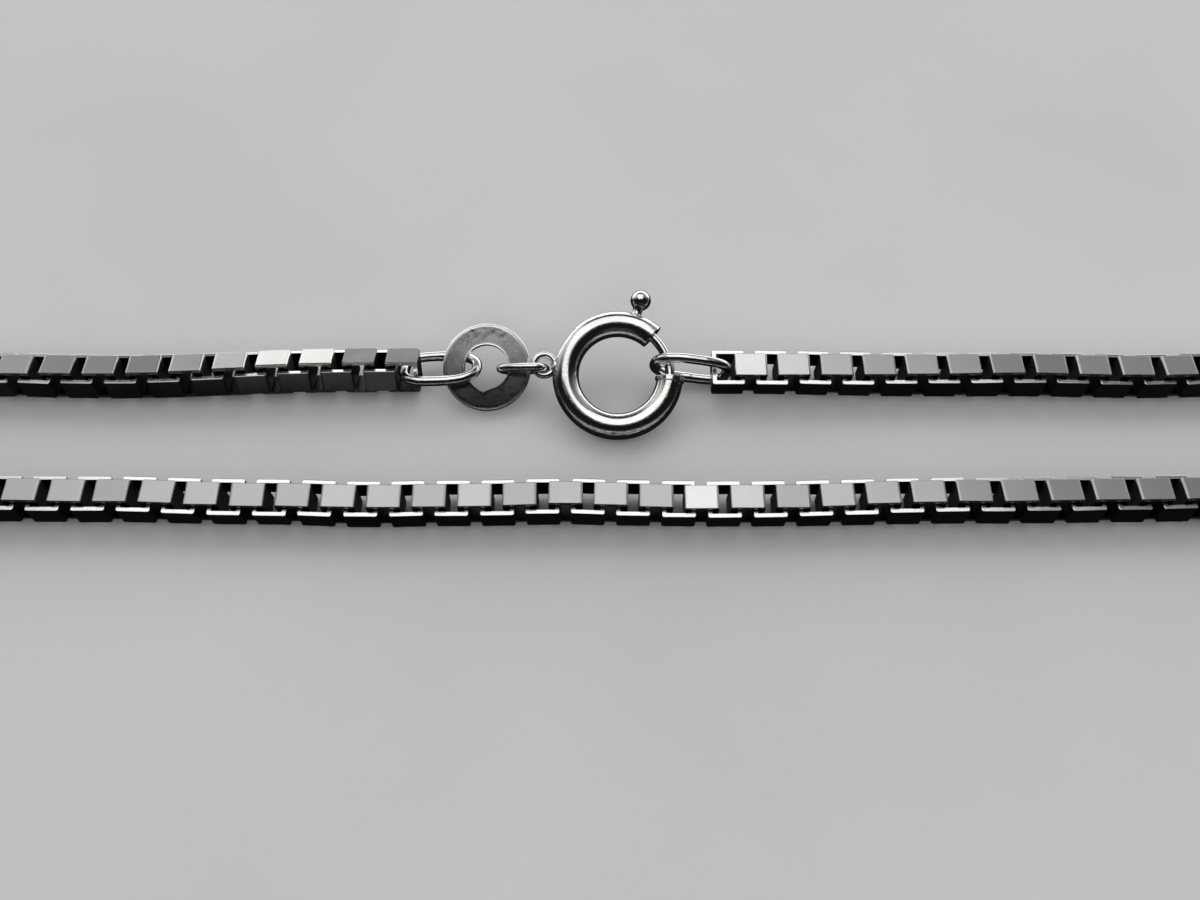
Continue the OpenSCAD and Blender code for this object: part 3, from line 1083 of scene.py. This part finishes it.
def makeTrigger():
    sizes = boltSet
    rootR = sizes["stemProfile"][0][1]
    profile = [(claspSet["middleR"], 0.0), (claspSet["middleR"], rootR)]
    profile += [(sizes["flangeAt"] + out, radius) for out, radius in sizes["stemProfile"]]
    for degrees in sizes["ballAngles"]:
        lean = math.radians(degrees)
        profile.append((sizes["ballAt"] + sizes["ballR"] * math.sin(lean),
                        max(0.0, sizes["ballR"] * math.cos(lean))))
    bm = bmesh.new()
    turnedProfile(bm, profile, sizes["stemSteps"])
    placed(bm, turned(sizes["triggerAngle"], "Z"))
    return bm


def makeBolt():
    sizes = boltSet
    bm = bmesh.new()
    wireSection(bm, claspSet["middleR"], sizes["wire"], sizes["sides"], sizes["noseAngle"])
    spinAll(bm, sizes["tailAngle"] - sizes["noseAngle"], sizes["steps"])
    roundEnd(bm, sizes["noseAngle"], -1)
    roundEnd(bm, sizes["tailAngle"], 1)
    joinTo(bm, makeTrigger())
    bmesh.ops.recalc_face_normals(bm, faces=bm.faces[:])
    bm.faces.layers.float.new("inside")
    placed(bm, claspPlace)
    finishPiece(bm, "trigger_bolt", polishedSilver, "clasp_bolt", body=boltBody)


makeClaspCase()
makeBolt()
print("clasp made")

# Stage: a plain pale floor, soft boxes and a quiet world
floorSet = {
    "size": 2400.0,
    "z": -0.02,
    "cells": 4,
    "light": (0.74, 0.735, 0.725),
    "dark": (0.70, 0.695, 0.685),
    "specular": 0.1,
    "patchScale": 40.0,
    "grainScale": 2500.0,
    "roughness": (0.75, 0.9),
}


def makeFloorFinish():
    look = floorSet
    material, tree, inputs = startMaterial("paleFloor", 0.0)
    inputs["Specular IOR Level"].default_value = look["specular"]
    patches = addGroup(tree, patchGroup, look["patchScale"])["Mask"]
    grain = addGroup(tree, grainGroup, look["grainScale"])["Mask"]
    feed(tree, inputs["Base Color"], addColours(tree, patches, look["light"], look["dark"]))
    feed(tree, inputs["Roughness"], addRange(tree, grain, 0.0, 1.0, *look["roughness"]))
    return material


def makeFloor():
    cells = floorSet["cells"]
    bm = bmesh.new()
    bmesh.ops.create_grid(bm, x_segments=cells, y_segments=cells, size=floorSet["size"] / 2)
    placed(bm, moved(0, 0, floorSet["z"]))
    floor = finishObject(bm, "floor", makeFloorFinish())
    floor.visible_glossy = False


makeFloor()

# Area lights. Azimuth runs from the right round to the back, and shift is to the light's own side.
# The metal mirrors the first two, and the others only light the floor.
lightSet = {
    "main_box": {"azimuth": 90, "elevation": 75, "distance": 330, "wide": 335, "high": 340,
                 "brightness": 1.1, "mirrored": True, "shift": 28},
    "front_box": {"azimuth": 270, "elevation": 16, "distance": 330, "wide": 240, "high": 90,
                  "brightness": 0.04, "mirrored": True, "shift": 0},
    "back_floor_box": {"azimuth": 90, "elevation": 42, "distance": 420, "wide": 500, "high": 260,
                       "brightness": 1.4, "mirrored": False, "shift": 0},
    "left_floor_box": {"azimuth": 180, "elevation": 36, "distance": 420, "wide": 300, "high": 260,
                       "brightness": 0.7, "mirrored": False, "shift": 0},
    "right_floor_box": {"azimuth": 0, "elevation": 36, "distance": 420, "wide": 300, "high": 260,
                        "brightness": 0.7, "mirrored": False, "shift": 0},
    "front_floor_box": {"azimuth": 270, "elevation": 40, "distance": 420, "wide": 400, "high": 200,
                        "brightness": 0.7, "mirrored": False, "shift": 0},
}


def makeLight(name, box):
    data = bpy.data.lights.new(name, "AREA")
    data.shape = "RECTANGLE"
    data.size = box["wide"] * mm
    data.size_y = box["high"] * mm
    data.energy = box["brightness"] * math.pi * data.size * data.size_y
    light = addObject(name, data)
    around, up = math.radians(box["azimuth"]), math.radians(box["elevation"])
    way = Vector((math.cos(up) * math.cos(around), math.cos(up) * math.sin(around), math.sin(up)))
    facing = way.to_track_quat("Z", "Y")
    light.location = (way * box["distance"] + facing @ Vector((box["shift"], 0, 0))) * mm
    light.rotation_euler = facing.to_euler()
    light.visible_camera = False
    light.visible_glossy = box["mirrored"]
    light.visible_diffuse = not box["mirrored"]


skySet = {"strength": 0.9, "spread": 120}  # even light for the floor alone


def makeSky():
    data = bpy.data.lights.new("sky", "SUN")
    data.energy = skySet["strength"]
    data.angle = math.radians(skySet["spread"])
    light = addObject("sky", data)
    light.visible_glossy = False


for lightName, lightBox in lightSet.items():
    makeLight(lightName, lightBox)
makeSky()

# Each span is two values of the direction's X, Y or Z, from none of a surface to all of it
worldSet = {
    "tint": (1.0, 0.995, 0.985),
    "seen": 0.72,
    "dark": 0.008,
    "backdrop": 1.5,
    "backdropFoot": (-0.36, -0.2),
    "backdropTop": (0.33, 0.4),  # from all to none
    "backdropDepth": (0.3, 0.6),
    "wallFoot": (0.1, 0.3),
    "wallDepth": (0.0, 0.3),
    "walls": (((-0.4, -0.55), 0.55), ((0.35, 0.5), 0.22)),  # span in X and brightness, left and right
}


# The metal mirrors a dark room with a pale backdrop low at the back, down to the floor in front of
# it, and a grey wall at each side
def makeRoom(tree):
    room = worldSet
    place = addNode(tree, "ShaderNodeTexCoord").outputs["Generated"]
    direction = addNode(tree, "ShaderNodeSeparateXYZ", {"Vector": place}).outputs
    foot = addRange(tree, direction["Z"], *room["backdropFoot"])
    top = addRange(tree, direction["Z"], *room["backdropTop"], room["backdrop"], room["dark"])
    level = addMath(tree, "MULTIPLY", foot, top)
    level = addMath(tree, "MULTIPLY", level, addRange(tree, direction["Y"], *room["backdropDepth"]))
    high = addMath(tree, "MULTIPLY", addRange(tree, direction["Z"], *room["wallFoot"]),
                   addRange(tree, direction["Y"], *room["wallDepth"]))
    for span, brightness in room["walls"]:
        wall = addRange(tree, direction["X"], *span, 0.0, brightness)
        level = addMath(tree, "MAXIMUM", level, addMath(tree, "MULTIPLY", wall, high))
    return addMath(tree, "MAXIMUM", level, room["dark"])


def makeWorld():
    world = bpy.data.worlds.new("studio")
    bpy.context.scene.world = world
    world.use_nodes = True
    tree = world.node_tree
    inputs = tree.nodes["Background"].inputs
    fromCamera = addNode(tree, "ShaderNodeLightPath").outputs["Is Camera Ray"]
    feed(tree, inputs["Strength"], addMix(tree, fromCamera, makeRoom(tree), worldSet["seen"]))
    feed(tree, inputs["Color"], worldSet["tint"])


makeWorld()
bpy.context.scene.view_settings.view_transform = "Standard"
print("stage lit")
